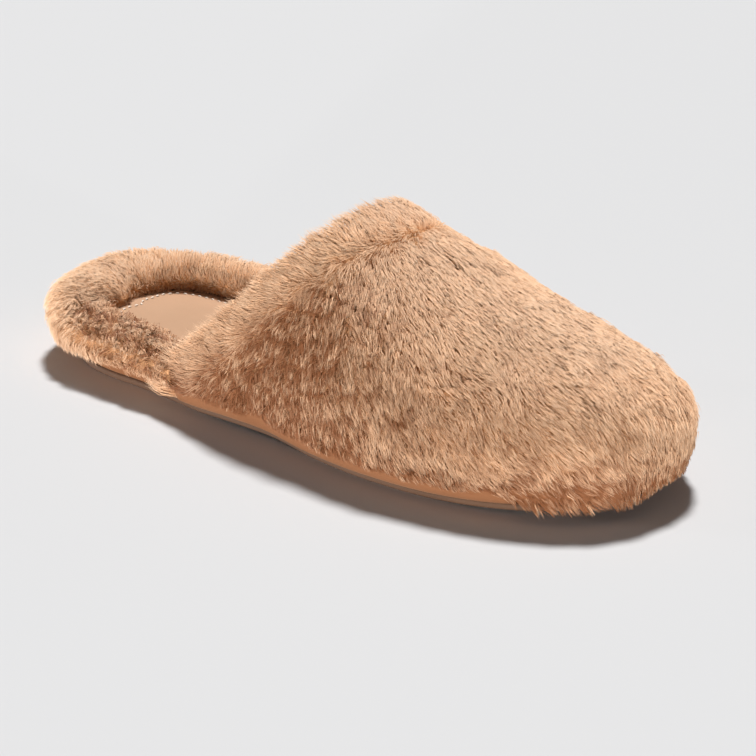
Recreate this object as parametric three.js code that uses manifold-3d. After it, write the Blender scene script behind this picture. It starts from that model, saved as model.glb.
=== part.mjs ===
// A right-foot fur scuff: a closed-toe, open-back house slipper.
// Millimetres, +X towards the toe, +Y towards the inner side of the foot, +Z up.
// The origin is under the centre of the finished slipper, on the ground.

import * as THREE from 'three';
import { mergeVertices } from 'three/addons/utils/BufferGeometryUtils.js';
import Module from 'manifold-3d';

const wasm = await Module();
wasm.setup();

// Outline of the sole
const LENGTH = 250;
const BALL_WIDTH = 91;
const HEEL_WIDTH = 63;
const WAIST_WIDTH = 76;
const TOE_SWING = 6;
const SIDE_BEND = 2;
const TOE_SPRING = 4;
const ARCH_LIFT = 1.2;

// Layers underfoot
const OUTSOLE_THICK = 2.4;
const MIDSOLE_THICK = 6.6;
const INSOLE_THICK = 8.2;
const INSOLE_CROWN = 1.6;
const INSOLE_INSET = 1.2;
const SEAT_GAP = 0.3;

// Upper
const INSTEP_HEIGHT = 81.5;
const CLOTH = 3;
const PILE = 8;
const WIDEST_LEVEL = 18;
const HEM_LEVEL = 3.4;
const COLLAR_TOP_AT = 132;
const COLLAR_OUTER_AT = 76;
const COLLAR_INNER_AT = 88;
const LOCK_DEPTH = 4;

// Fur roll around the heel
const RIM_HEIGHT = 10;
const RIM_REACH = 17;
const RIM_BULGE = 11;
const RIM_LOW_EDGE = 6;
const RIM_DROOP = 5;

// Combed locks standing out of the pile
const LOCK_LENGTH = 11;
const LOCK_WIDTH = 9;
const LOCK_TIP_LEVEL = 1;
const LOCK_TIP_RANGE = 2.5;
const LOCK_BELLY_RISE = 4;
const LOCK_SINK = 3;
const RIM_LOCK_DROP = 2.5;
const RIM_LOCK_RANGE = 3;

const HEEL_STEPS = 15;
const TOE_STEPS = 26;
const UPPER_ROWS = 14;

const MIDSOLE_BASE = OUTSOLE_THICK + SEAT_GAP;
const MIDSOLE_TOP = MIDSOLE_BASE + MIDSOLE_THICK;
const INSOLE_BASE = MIDSOLE_TOP + SEAT_GAP;
const INSOLE_TOP = INSOLE_BASE + INSOLE_THICK;
const WALL = CLOTH + PILE;

const clamp01 = (value) => Math.min(1, Math.max(0, value));
const mix = (from, to, share) => from + (to - from) * share;
const smooth = (value) => clamp01(value) ** 2 * (3 - 2 * clamp01(value));

// A repeatable number between 0 and 1 that gives each lock its own size
const vary = (seed) => Math.abs(Math.sin(seed * 12.9898) * 43758.5453) % 1;

// How far the sole lifts off the ground at a distance x from the heel
function lift(x) {
  const along = x / LENGTH;
  const arch = ARCH_LIFT * smooth((along - 0.3) / 0.1) * smooth((0.56 - along) / 0.1);
  return arch + TOE_SPRING * clamp01((along - 0.72) / 0.28) ** 1.9;
}

// Widths along the sole: where each one lies and how full the outline is towards both ends
const WIDTHS = { heelAt: 0.16, waistAt: 0.42, ballAt: 0.67, heelFull: 2.2, outerToeFull: 2.3, innerToeFull: 2.85 };

function halfWidth(along, inner) {
  const waist = mix(HEEL_WIDTH, WAIST_WIDTH, smooth((along - WIDTHS.heelAt) / (WIDTHS.waistAt - WIDTHS.heelAt)));
  const ball = smooth((along - WIDTHS.waistAt) / (WIDTHS.ballAt - WIDTHS.waistAt));
  const half = mix(waist, BALL_WIDTH, ball) / 2;
  const heelEnd = clamp01((WIDTHS.heelAt - along) / WIDTHS.heelAt);
  const toeEnd = clamp01((along - WIDTHS.ballAt) / (1 - WIDTHS.ballAt));
  const toeFull = inner ? WIDTHS.innerToeFull : WIDTHS.outerToeFull;
  const heelCap = (1 - heelEnd ** WIDTHS.heelFull) ** (1 / WIDTHS.heelFull);
  return half * heelCap * Math.max(0, 1 - toeEnd ** toeFull) ** (1 / toeFull);
}

// The curved middle line of the foot
function middle(along) {
  return TOE_SWING * clamp01((along - 0.35) / 0.65) ** 1.6 + SIDE_BEND * Math.sin(Math.PI * along);
}

function outlinePoint(along, inner) {
  const side = inner ? 1 : -1;
  return new THREE.Vector2(along * LENGTH, middle(along) + side * halfWidth(along, inner));
}

// Stations around the outline: heel to outer corner to toe, then toe to inner corner to heel.
// The corners are where the collar meets the sole. Spacing closes up towards both ends.
function stationShares(cornerAt) {
  const corner = Math.acos(1 - (2 * cornerAt) / LENGTH);
  const shares = [];
  for (let step = 0; step <= HEEL_STEPS + TOE_STEPS; step += 1) {
    const angle = step <= HEEL_STEPS
      ? mix(0, corner, step / HEEL_STEPS)
      : mix(corner, Math.PI, (step - HEEL_STEPS) / TOE_STEPS);
    shares.push((1 - Math.cos(angle)) / 2);
  }
  return shares;
}

const outerShares = stationShares(COLLAR_OUTER_AT);
const innerShares = stationShares(COLLAR_INNER_AT);
const stations = [
  ...outerShares.map((along) => outlinePoint(along, false)),
  ...innerShares.slice(1, -1).reverse().map((along) => outlinePoint(along, true)),
];
const STATION_COUNT = stations.length;
const TOE_STATION = HEEL_STEPS + TOE_STEPS;
const INNER_CORNER = TOE_STATION + TOE_STEPS;

// Outward normals of the outline, seen from above
const normals = stations.map((point, index) => {
  const next = stations[(index + 1) % STATION_COUNT];
  const previous = stations[(index + STATION_COUNT - 1) % STATION_COUNT];
  return new THREE.Vector2(next.y - previous.y, previous.x - next.x).normalize();
});

// A point beside a station, or part of the way to the next one, offset outwards from the outline and at a
// height above the sole's own curve
function beside(index, offset, height) {
  const whole = Math.floor(index);
  const [here, next] = [whole, whole + 1].map((station) => {
    const wrapped = (station + STATION_COUNT) % STATION_COUNT;
    return stations[wrapped].clone().addScaledVector(normals[wrapped], offset);
  });
  const point = here.lerp(next, index - whole);
  return new THREE.Vector3(point.x, point.y, height + lift(point.x));
}

// Faces are collected as corner points on a fine grid, and shared corners are merged at the end
const SNAP = 0.001;

class Faces {
  constructor() {
    this.corners = [];
  }

  triangle(a, b, c) {
    const corners = [a, b, c].map((corner) => corner.toArray().map((size) => Math.round(size / SNAP) * SNAP));
    const [first, second, third] = corners.map(String);
    if (first !== second && second !== third && third !== first) {
      this.corners.push(...corners.flat());
    }
  }

  quad(a, b, c, d) {
    this.triangle(a, b, c);
    this.triangle(a, c, d);
  }

  // Rows of points, each row joined to the next
  grid(rows) {
    for (let row = 0; row + 1 < rows.length; row += 1) {
      for (let column = 0; column + 1 < rows[row].length; column += 1) {
        this.quad(rows[row][column], rows[row][column + 1], rows[row + 1][column + 1], rows[row + 1][column]);
      }
    }
  }

  solid() {
    const soup = new THREE.BufferGeometry();
    soup.setAttribute('position', new THREE.Float32BufferAttribute(this.corners, 3));
    const merged = mergeVertices(soup, SNAP / 10);
    const mesh = new wasm.Mesh({
      numProp: 3,
      vertProperties: new Float32Array(merged.getAttribute('position').array),
      triVerts: new Uint32Array(merged.getIndex().array),
    });
    return new wasm.Manifold(mesh);
  }
}

const closed = (row) => [...row, row[0]];

// A layer of the sole. Its edge is a table of offset from the outline and height, bottom to top.
function layer(edge, crown) {
  const faces = new Faces();
  const rings = edge.map(({ offset, height }) => (
    closed(stations.map((_, index) => beside(index, offset, height)))
  ));
  faces.grid(rings);
  addCap(faces, edge[0], 0, true);
  addCap(faces, edge[edge.length - 1], crown, false);
  return faces.solid();
}

// The flat or crowned face of a layer, made of rows that cross from one side to the other
function addCap(faces, { offset, height }, crown, faceDown) {
  const rows = [];
  for (let step = 0; step <= TOE_STATION; step += 1) {
    const from = beside(step, offset, height);
    const to = beside(-step, offset, height);
    const wide = from.distanceTo(to) / HEEL_WIDTH;
    rows.push((crown > 0 ? [0, 0.16, 0.38, 0.62, 0.84, 1] : [0, 1]).map((share) => {
      const point = from.clone().lerp(to, share);
      point.z += crown * Math.min(1, wide) * (1 - (2 * share - 1) ** 2);
      return point;
    }));
  }
  faces.grid(faceDown ? rows : rows.map((row) => [...row].reverse()));
}

function outsole() {
  return layer([
    { offset: -1, height: 0 },
    { offset: 0, height: 0.8 },
    { offset: 0, height: OUTSOLE_THICK - 0.4 },
    { offset: -0.6, height: OUTSOLE_THICK },
  ], 0);
}

function midsole() {
  return layer([
    { offset: -0.8, height: MIDSOLE_BASE },
    { offset: 0, height: MIDSOLE_BASE + 0.9 },
    { offset: 0, height: MIDSOLE_TOP - 1 },
    { offset: -0.8, height: MIDSOLE_TOP },
  ], 0);
}

function insole() {
  return layer([
    { offset: -INSOLE_INSET, height: INSOLE_BASE },
    { offset: -INSOLE_INSET, height: INSOLE_TOP - 1.4 },
    { offset: -INSOLE_INSET - 0.5, height: INSOLE_TOP - 0.4 },
    { offset: -INSOLE_INSET - 1.8, height: INSOLE_TOP },
  ], INSOLE_CROWN);
}

// Height of the vamp's ridge along the foot, as shares of the length and of the instep height
const RIDGE = [
  { along: 0.30, height: 1.02 },
  { along: 0.52, height: 1.00 },
  { along: 0.62, height: 0.90 },
  { along: 0.74, height: 0.76 },
  { along: 0.85, height: 0.66 },
  { along: 0.94, height: 0.60 },
  { along: 1.06, height: 0.49 },
];
const ridgeCurve = new THREE.SplineCurve(RIDGE.map((row) => new THREE.Vector2(row.along, row.height)));

function ridgeHeight(x) {
  let low = 0;
  let high = 1;
  for (let pass = 0; pass < 24; pass += 1) {
    const tested = (low + high) / 2;
    if (ridgeCurve.getPoint(tested).x * LENGTH < x) {
      low = tested;
    } else {
      high = tested;
    }
  }
  return ridgeCurve.getPoint(low).y * INSTEP_HEIGHT;
}

// The dome of the vamp. Columns follow the outline from the outer collar corner round the toe to the
// inner one, and rows climb from the widest level to the ridge. The pole of the toe is TOE_POLE along.
const TOE_POLE = 0.81;
const DOME_FULL = 2.2;

// The collar climbs in a slanted line, and the columns ahead of it take up the toe's roundness
const COLLAR_SLANT = 0.9;
const COLLAR_BLEND = 1.6;

function domePoint(index, climb, offset, base, drop) {
  const foot = beside(index, offset, 0);
  const round = clamp01(Math.abs(index - TOE_STATION) / TOE_STEPS);
  const top = mix(COLLAR_TOP_AT, TOE_POLE * LENGTH, Math.sin(((1 - round) * Math.PI) / 2));
  const reach = Math.cos((climb * Math.PI) / 2);
  const rise = (1 - reach ** DOME_FULL) ** (1 / DOME_FULL);
  const slanted = smooth(round * COLLAR_BLEND - COLLAR_BLEND + 1);
  const x = mix(top, foot.x, mix(reach, 1 - rise ** COLLAR_SLANT, slanted));
  const y = mix(middle(top / LENGTH), foot.y, reach);
  return new THREE.Vector3(x, y, base + (ridgeHeight(x) - drop - base) * rise + lift(x));
}

// Overlapping locks of pile: each one rises towards its free end and drops to the next
function lockRelief(station, row, spanColumns, spanRows) {
  const index = Math.round(station);
  const band = Math.floor(row / spanRows);
  const shifted = index + (band % 2) * (spanColumns / 2) + 40;
  const across = Math.abs(((shifted % spanColumns) / spanColumns) * 2 - 1);
  const down = (row % spanRows) / (spanRows - 1);
  const lock = Math.floor(shifted / spanColumns) * 7 + band;
  return LOCK_DEPTH * (0.75 + 0.25 * vary(lock)) * (1 - 0.75 * across) * (0.25 + 0.75 * down);
}

// The tucked-under hem: share of the wall's width, and share of the way from the hem to the widest level
const HEM = [
  { out: 0.24, height: 0.00 },
  { out: 0.62, height: 0.08 },
  { out: 0.90, height: 0.36 },
  { out: 1.00, height: 0.70 },
];

const upperStations = [];
for (let index = HEEL_STEPS; index <= INNER_CORNER; index += 1) {
  upperStations.push(index);
}

// Outer skin of the vamp, hem to ridge, grown by a clearance and with or without its locks
function outerSkin(columnStations, grow, locks) {
  return columnStations.map((index) => {
    const column = HEM.map(({ out, height }, row) => {
      const relief = locks && row > 0 ? lockRelief(index, row, 4, 4) : 0;
      const level = mix(HEM_LEVEL, WIDEST_LEVEL, height) - (row === 0 ? grow : 0);
      return beside(index, mix(0, WALL - LOCK_DEPTH, out) + relief + grow, level);
    });
    for (let row = 0; row <= UPPER_ROWS; row += 1) {
      const climb = row / UPPER_ROWS;
      const fade = locks ? 1 - smooth((climb - 0.82) / 0.18) : 0;
      const relief = fade * lockRelief(index, UPPER_ROWS - row, 4, 4);
      const reach = Math.cos((climb * Math.PI) / 2);
      const out = WALL - LOCK_DEPTH + grow + relief * reach;
      const point = domePoint(index, climb, out, WIDEST_LEVEL, 0);
      point.z += (grow + relief) * Math.sin((climb * Math.PI) / 2);
      column.push(point);
    }
    return column;
  });
}

// Inner skin around the foot: beside the sole's edge at the bottom, one wall inside the outer skin above
function innerSkin(columnStations) {
  const seat = MIDSOLE_TOP + 1;
  return columnStations.map((index) => {
    const column = [HEM_LEVEL, mix(HEM_LEVEL, seat, 0.33), mix(HEM_LEVEL, seat, 0.66), seat]
      .map((height) => beside(index, SEAT_GAP, height));
    for (let row = 0; row <= UPPER_ROWS; row += 1) {
      column.push(domePoint(index, row / UPPER_ROWS, SEAT_GAP, INSOLE_TOP + 1, WALL - LOCK_DEPTH));
    }
    return column;
  });
}

// The collar's rounded lip, a half circle of points between the two skins of an end column
function lipRow(outer, inner, next, turns) {
  return outer.map((point, row) => {
    const centre = point.clone().lerp(inner[row], 0.5);
    const half = point.clone().sub(inner[row]).multiplyScalar(0.5);
    const back = point.clone().sub(next[row]).normalize().multiplyScalar(half.length() * 0.75);
    back.z *= 0.4;
    return centre.addScaledVector(half, Math.cos(turns * Math.PI)).addScaledVector(back, Math.sin(turns * Math.PI));
  });
}

function upperShell() {
  const outer = outerSkin(upperStations, 0, true);
  const inner = innerSkin(upperStations);
  const faces = new Faces();
  faces.grid(outer.map((column) => [...column].reverse()));
  faces.grid(inner);
  const hem = outer.map((column, index) => [column[0], inner[index][0]]);
  faces.grid(hem);
  const last = outer.length - 1;
  const turns = [0, 0.25, 0.5, 0.75, 1];
  const outerEnd = turns.map((turn) => lipRow(outer[0], inner[0], outer[1], turn));
  const innerEnd = turns.map((turn) => lipRow(outer[last], inner[last], outer[last - 1], turn));
  weldRidge(outerEnd, innerEnd);
  faces.grid(outerEnd);
  faces.grid([...innerEnd].reverse());
  [outerEnd, innerEnd].forEach((rows, end) => {
    for (let turn = 1; turn + 1 < rows.length; turn += 1) {
      const corners = [rows[0][0], rows[turn][0], rows[turn + 1][0]];
      faces.triangle(...(end ? corners.reverse() : corners));
    }
  });
  return faces.solid();
}

// Both halves of the lip end on the same points at the ridge
function weldRidge(outerEnd, innerEnd) {
  outerEnd.forEach((row, turn) => {
    const other = innerEnd[turn];
    const shared = row[row.length - 1].clone().lerp(other[other.length - 1], 0.5);
    row[row.length - 1].copy(shared);
    other[other.length - 1].copy(shared);
  });
}

// How far back the collar's lip bulges, in stations
const LIP_STATIONS = 0.86;

// Everything inside the vamp's outer skin, grown by a clearance: the space that the heel roll stays out of
function upperEnvelope(grow) {
  const lipped = [HEEL_STEPS - LIP_STATIONS, ...upperStations, INNER_CORNER + LIP_STATIONS];
  const outer = outerSkin(lipped, LOCK_DEPTH + grow, false);
  const faces = new Faces();
  const ends = [outer[0], outer[outer.length - 1]];
  faces.grid(outer.map((column) => [...column].reverse()));
  const foot = outer.map((column) => column[0]);
  const hub = foot[0].clone().lerp(foot[foot.length - 1], 0.5);
  for (let index = 0; index + 1 < foot.length; index += 1) {
    faces.triangle(foot[index + 1], foot[index], hub);
  }
  ends.forEach((column, end) => {
    for (let row = 0; row + 1 < column.length; row += 1) {
      const corners = [column[row], column[row + 1], hub];
      faces.triangle(...(end ? corners.reverse() : corners));
    }
  });
  return faces.solid();
}

// One combed lock: a flattened three-sided horn from its root in the pile, over its belly, to its tip
function lockHorn(root, belly, tip, width) {
  const along = tip.clone().sub(root).normalize();
  const side = new THREE.Vector3().crossVectors(along, belly.clone().sub(root)).normalize();
  const up = new THREE.Vector3().crossVectors(along, side).normalize();
  const ring = (centre) => [0, 1, 2].map((corner) => {
    const angle = (corner * 2 * Math.PI) / 3 + 0.5;
    return centre.clone()
      .addScaledVector(side, (Math.cos(angle) * width) / 2)
      .addScaledVector(up, Math.sin(angle) * width * 0.3);
  });
  const base = ring(root);
  const waist = ring(belly);
  const faces = new Faces();
  faces.grid([closed(base), closed(waist)]);
  faces.grid([closed(waist), [tip, tip, tip, tip]]);
  faces.triangle(base[2], base[1], base[0]);
  return faces.solid();
}

function fuse(body, horns) {
  return horns.reduce((joined, horn) => joined.add(horn), body);
}

// Locks around the hem and toe, hanging almost to the ground, and back over the collar's lip
function upperLocks() {
  const outer = outerSkin(upperStations, 0, true);
  const last = outer.length - 1;
  const horns = [];
  for (let column = 2; column <= last - 2; column += 1) {
    const index = upperStations[column];
    const root = beside(index, WALL * 0.45, WIDEST_LEVEL);
    const belly = beside(index, WALL * 0.72, HEM_LEVEL + LOCK_BELLY_RISE);
    const tip = beside(index + 0.6, WALL * mix(0.62, 0.95, vary(column)), LOCK_TIP_LEVEL + LOCK_TIP_RANGE * vary(column + 9));
    horns.push(lockHorn(root, belly, tip, LOCK_WIDTH));
  }
  for (const end of [0, last]) {
    const step = end === 0 ? 1 : -1;
    const stop = outer[end].length - (end === 0 ? 0 : 1);
    for (let row = HEM.length + 3; row < stop; row += 1) {
      const edge = outer[end][row];
      const back = edge.clone().sub(outer[end + step][row]).normalize();
      const root = edge.clone().addScaledVector(back, -0.5 * LOCK_LENGTH);
      root.z -= LOCK_SINK;
      const belly = edge.clone().addScaledVector(back, 0.15 * LOCK_LENGTH);
      const tip = edge.clone().addScaledVector(back, LOCK_LENGTH * (0.45 + 0.35 * vary(row + end)));
      tip.z -= LOCK_TIP_RANGE * vary(row * 3 + end);
      horns.push(lockHorn(root, belly, tip, LOCK_WIDTH));
    }
  }
  return horns;
}

function upper() {
  return fuse(upperShell(), upperLocks());
}

// Section of the heel roll, going round from its inner foot on the insole over the top to its low outer edge.
// Reach is a share of RIM_REACH inwards or RIM_BULGE outwards, height a share of RIM_HEIGHT above the insole.
const RIM_SECTION = [
  { inwards: 0.50, height: 0.00 },
  { inwards: 0.86, height: 0.14 },
  { inwards: 1.00, height: 0.42 },
  { inwards: 0.88, height: 0.74 },
  { inwards: 0.55, height: 0.95 },
  { inwards: 0.12, height: 1.00 },
  { outwards: 0.42, height: 0.88 },
  { outwards: 0.80, height: 0.55 },
  { outwards: 1.00, height: 0.10 },
];

// The roll around the heel, from the inner collar corner at -1 to the outer one at 1. Reach and height are
// shares of RIM_REACH and RIM_HEIGHT: it is deep behind the heel, tall on the inner side, flat on the outer.
const RIM_ROUND = [
  { at: -1.00, reach: 0.38, height: 1.00 },
  { at: -0.50, reach: 0.42, height: 1.00 },
  { at: -0.15, reach: 0.90, height: 0.95 },
  { at: 0.20, reach: 1.06, height: 0.80 },
  { at: 0.50, reach: 0.50, height: 0.34 },
  { at: 1.00, reach: 0.32, height: 0.26 },
];

// The roll's own reach and height at a place around the heel, blended smoothly between the rows
function rimRound(index) {
  const at = Math.min(1, Math.max(-1, index / HEEL_STEPS));
  const after = Math.max(1, RIM_ROUND.findIndex((row) => row.at >= at));
  const [from, to] = [RIM_ROUND[after - 1], RIM_ROUND[after]];
  const share = smooth((at - from.at) / (to.at - from.at));
  return { reach: mix(from.reach, to.reach, share), height: mix(from.height, to.height, share) };
}

function rimColumn(index) {
  const seat = INSOLE_TOP + SEAT_GAP + INSOLE_CROWN * 0.75;
  const round = rimRound(index);
  const over = RIM_SECTION.map(({ inwards, outwards, height }, row) => {
    const relief = row > 0 ? 0.7 * lockRelief(index, row, 4, 4) * mix(0.4, 1, round.height) : 0;
    const offset = inwards === undefined ? outwards * RIM_BULGE + relief : -inwards * RIM_REACH * round.reach - relief;
    const droop = inwards === undefined ? RIM_DROOP * (1 - round.height) * outwards ** 2 : 0;
    return beside(index, offset, seat + RIM_HEIGHT * round.height * height - droop + relief * 0.6);
  });
  const outside = [
    { offset: RIM_BULGE * 0.94, height: mix(RIM_LOW_EDGE, INSOLE_TOP, 0.45) },
    { offset: RIM_BULGE * 0.55, height: RIM_LOW_EDGE },
    { offset: SEAT_GAP, height: RIM_LOW_EDGE + 0.6 },
    { offset: SEAT_GAP, height: INSOLE_TOP },
    { offset: -INSOLE_INSET, height: seat },
  ];
  return [...over, ...outside.map(({ offset, height }) => beside(index, offset, height))];
}

// How far the roll runs in under the collar's corners before it is cut back, in stations
const RIM_UNDERLAP = 0.95;

function heelRim() {
  const reach = HEEL_STEPS - 1;
  const columns = [closed(rimColumn(-reach - RIM_UNDERLAP))];
  for (let index = -reach; index <= reach; index += 1) {
    columns.push(closed(rimColumn(index)));
  }
  columns.push(closed(rimColumn(reach + RIM_UNDERLAP)));
  const faces = new Faces();
  faces.grid(columns);
  [columns[0], columns[columns.length - 1]].forEach((ring, end) => {
    const hub = ring.slice(1).reduce((sum, point) => sum.add(point), new THREE.Vector3()).divideScalar(ring.length - 1);
    for (let index = 0; index + 1 < ring.length; index += 1) {
      const corners = [hub, ring[index], ring[index + 1]];
      faces.triangle(...(end ? corners : corners.reverse()));
    }
  });
  return fuse(faces.solid(), rimLocks()).subtract(upperEnvelope(SEAT_GAP));
}

// Locks combed out and down around the roll's low edge
function rimLocks() {
  const horns = [];
  for (let index = -HEEL_STEPS + 2; index <= HEEL_STEPS - 2; index += 1) {
    const root = beside(index, RIM_BULGE * 0.3, INSOLE_TOP);
    const belly = beside(index, RIM_BULGE * 0.85, RIM_LOW_EDGE + LOCK_SINK);
    const spread = mix(0.8, 1.15, vary(index + 40));
    const hang = RIM_LOCK_RANGE * vary(index + 60) - RIM_LOCK_DROP;
    const tip = beside(index + 0.5, RIM_BULGE * spread, RIM_LOW_EDGE + hang);
    horns.push(lockHorn(root, belly, tip, LOCK_WIDTH));
  }
  return horns;
}

// Colours and finish of each sub-part
const LOOKS = {
  outsole: { color: '#6f5240', roughness: 0.85, metalness: 0 },
  midsole: { color: '#a67a57', roughness: 0.9, metalness: 0 },
  insole: { color: '#d9ad8c', roughness: 0.92, metalness: 0 },
  heel_rim: { color: '#cf9f79', roughness: 0.95, metalness: 0 },
  upper: { color: '#b68666', roughness: 0.95, metalness: 0 },
};

function namedMesh(name, solid) {
  const { vertProperties, triVerts } = solid.getMesh();
  const geometry = new THREE.BufferGeometry();
  geometry.setAttribute('position', new THREE.Float32BufferAttribute(vertProperties, 3));
  geometry.setIndex(new THREE.Uint32BufferAttribute(triVerts, 1));
  geometry.computeVertexNormals();
  const mesh = new THREE.Mesh(geometry, new THREE.MeshStandardMaterial(LOOKS[name]));
  mesh.name = name;
  return mesh;
}

const slipper = new THREE.Group();
slipper.add(
  namedMesh('outsole', outsole()),
  namedMesh('midsole', midsole()),
  namedMesh('insole', insole()),
  namedMesh('heel_rim', heelRim()),
  namedMesh('upper', upper()),
);

const box = new THREE.Box3().setFromObject(slipper);
const centre = box.getCenter(new THREE.Vector3());
slipper.position.set(-centre.x, -centre.y, -box.min.z);
slipper.updateMatrixWorld(true);

export default slipper;
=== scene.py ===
"""A right-foot fur scuff: the finish of each piece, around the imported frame."""

import bmesh
import bpy
import numpy as np
from mathutils import Matrix, Vector


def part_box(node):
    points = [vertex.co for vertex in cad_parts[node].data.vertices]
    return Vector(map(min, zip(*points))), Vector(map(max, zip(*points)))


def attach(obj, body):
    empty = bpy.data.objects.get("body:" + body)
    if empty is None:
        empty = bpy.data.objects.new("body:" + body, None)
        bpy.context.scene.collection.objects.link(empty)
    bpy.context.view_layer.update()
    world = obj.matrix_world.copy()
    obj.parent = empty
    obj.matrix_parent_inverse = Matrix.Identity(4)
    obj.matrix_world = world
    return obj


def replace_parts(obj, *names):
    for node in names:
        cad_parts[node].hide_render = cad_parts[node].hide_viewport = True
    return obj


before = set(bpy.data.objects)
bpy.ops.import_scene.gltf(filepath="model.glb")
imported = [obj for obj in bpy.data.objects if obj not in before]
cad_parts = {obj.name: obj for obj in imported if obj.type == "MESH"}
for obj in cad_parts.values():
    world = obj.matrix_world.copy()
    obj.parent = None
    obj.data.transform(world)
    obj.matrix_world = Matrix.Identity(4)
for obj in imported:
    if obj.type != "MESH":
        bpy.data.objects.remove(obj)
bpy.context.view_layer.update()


# Outsole: thin brown rubber with a fine tread, cut to the outline of the foot.
# The bottom is flat under heel and ball, with a low arch between them and a small spring at the toe.

MM = 0.001
heel_low, toe_high = (np.array(corner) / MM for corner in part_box("outsole"))
LENGTH = toe_high[0] - heel_low[0]
BALL_WIDTH = 91.0
HEEL_WIDTH = 63.0
WAIST_WIDTH = 76.0
TOE_SWING = 6.0
SIDE_BEND = 2.0
TOE_SPRING = 4.0
ARCH_LIFT = 1.2
OUTSOLE_THICK = 2.4

HEEL_STEPS = 15
TOE_STEPS = 26
HALF_WAY = HEEL_STEPS + TOE_STEPS
ALL_ROUND = 2 * HALF_WAY
COLLAR_OUTER_AT = 76.0
COLLAR_INNER_AT = 88.0


def mix(start, end, share):
    return start + (end - start) * share


def smooth(share):
    """The share held to 0 and 1, with level ends: share squared times three minus twice the share."""
    held = np.clip(share, 0, 1)
    return held * held * (3 - 2 * held)


def lift(x):
    """Height of the sole's curve over the ground: a low hump at the arch and a rising power of the toe."""
    along = x / LENGTH
    arch = ARCH_LIFT * smooth((along - 0.3) / 0.1) * smooth((0.56 - along) / 0.1)
    return arch + TOE_SPRING * np.clip((along - 0.72) / 0.28, 0, 1) ** 1.9


def half_width(along, inner):
    """Half the width at a share of the length: heel, waist and ball joined smoothly, with both ends
    rounded off as superellipses."""
    waist = mix(HEEL_WIDTH, WAIST_WIDTH, smooth((along - 0.16) / 0.26))
    half = mix(waist, BALL_WIDTH, smooth((along - 0.42) / 0.25)) / 2
    heel_end = np.clip((0.16 - along) / 0.16, 0, 1)
    toe_end = np.clip((along - 0.67) / 0.33, 0, 1)
    full = np.where(inner, 2.85, 2.3)
    heel_cap = (1 - heel_end ** 2.2) ** (1 / 2.2)
    return half * heel_cap * np.maximum(0, 1 - toe_end ** full) ** (1 / full)


def middle(along):
    """Sideways place of the foot's middle line: a swing towards the big toe and a slight bend."""
    return TOE_SWING * np.clip((along - 0.35) / 0.65, 0, 1) ** 1.6 + SIDE_BEND * np.sin(np.pi * along)


def outline(turn):
    """The sole's outline from above. turn runs from the heel along the outer side, round the toe and back,
    in the stations that the solids use, and the spacing closes up towards both ends."""
    turn = np.asarray(turn, float) % ALL_ROUND
    inner = turn > HALF_WAY
    step = np.where(inner, ALL_ROUND - turn, turn)
    corner = np.arccos(1 - 2 * np.where(inner, COLLAR_INNER_AT, COLLAR_OUTER_AT) / LENGTH)
    to_toe = mix(corner, np.pi, (step - HEEL_STEPS) / TOE_STEPS)
    angle = np.where(step <= HEEL_STEPS, corner * step / HEEL_STEPS, to_toe)
    along = (1 - np.cos(angle)) / 2
    side = np.where(inner, 1.0, -1.0)
    return np.stack([along * LENGTH, middle(along) + side * half_width(along, inner)], -1)


def beside(turn, offset, height):
    """A point beside the outline, offset along its outward normal, at a height over the sole's curve."""
    turn, offset, height = np.broadcast_arrays(np.asarray(turn, float), offset, height)
    step = outline(turn + 0.04) - outline(turn - 0.04)
    size = np.maximum(np.hypot(step[..., 0], step[..., 1]), 1e-9)
    place = outline(turn) + np.stack([step[..., 1], -step[..., 0]], -1) * (offset / size)[..., None]
    return np.stack([place[..., 0], place[..., 1], height + lift(place[..., 0])], -1)


sampled_outline = outline(np.linspace(0, ALL_ROUND, 800))
side_middle = (sampled_outline[:, 1].min() + sampled_outline[:, 1].max()) / 2
HEEL_PLACE = np.array([heel_low[0], (heel_low[1] + toe_high[1]) / 2 - side_middle, 0.0])


def lay_mesh(name, points, faces, finish, fur_map=None, leaning=None):
    """A mesh from arrays: points in millimetres from the heel, faces as rows of corner numbers.
    fur_map gives each point its shade and its share of the way from root to tip, and leaning the normal
    that it is shaded by."""
    mesh = bpy.data.meshes.new(name)
    sides = faces.shape[1]
    mesh.vertices.add(len(points))
    mesh.vertices.foreach_set("co", ((points + HEEL_PLACE) * MM).astype(np.float32).ravel())
    mesh.loops.add(faces.size)
    mesh.loops.foreach_set("vertex_index", faces.astype(np.int32).ravel())
    mesh.polygons.add(len(faces))
    mesh.polygons.foreach_set("loop_start", np.arange(0, faces.size, sides, dtype=np.int32))
    mesh.polygons.foreach_set("use_smooth", np.ones(len(faces), bool))
    mesh.update(calc_edges=True)
    if fur_map is not None:
        layer = mesh.uv_layers.new(name="OFBake")
        layer.uv.foreach_set("vector", fur_map[faces.ravel()].astype(np.float32).ravel())
    if leaning is not None:
        mesh.normals_split_custom_set_from_vertices(leaning.tolist())
    piece = bpy.data.objects.new(name, mesh)
    bpy.context.collection.objects.link(piece)
    mesh.materials.append(finish)
    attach(piece, "root")
    return piece


def close_up(piece):
    """Merges doubled points at seams and poles, and turns all faces outwards."""
    work = bmesh.new()
    work.from_mesh(piece.data)
    bmesh.ops.remove_doubles(work, verts=work.verts, dist=2e-6)
    bmesh.ops.recalc_face_normals(work, faces=work.faces)
    work.to_mesh(piece.data)
    work.free()


def grid_faces(rows, columns, wrap=False):
    """Quads between neighbouring rows and columns of a grid of points, joined round the columns if asked."""
    spans = columns if wrap else columns - 1
    row, column = np.meshgrid(np.arange(rows - 1), np.arange(spans), indexing="ij")
    after = (column + 1) % columns
    here, beyond = row * columns, (row + 1) * columns
    return np.stack([here + column, here + after, beyond + after, beyond + column], -1).reshape(-1, 4)


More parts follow.
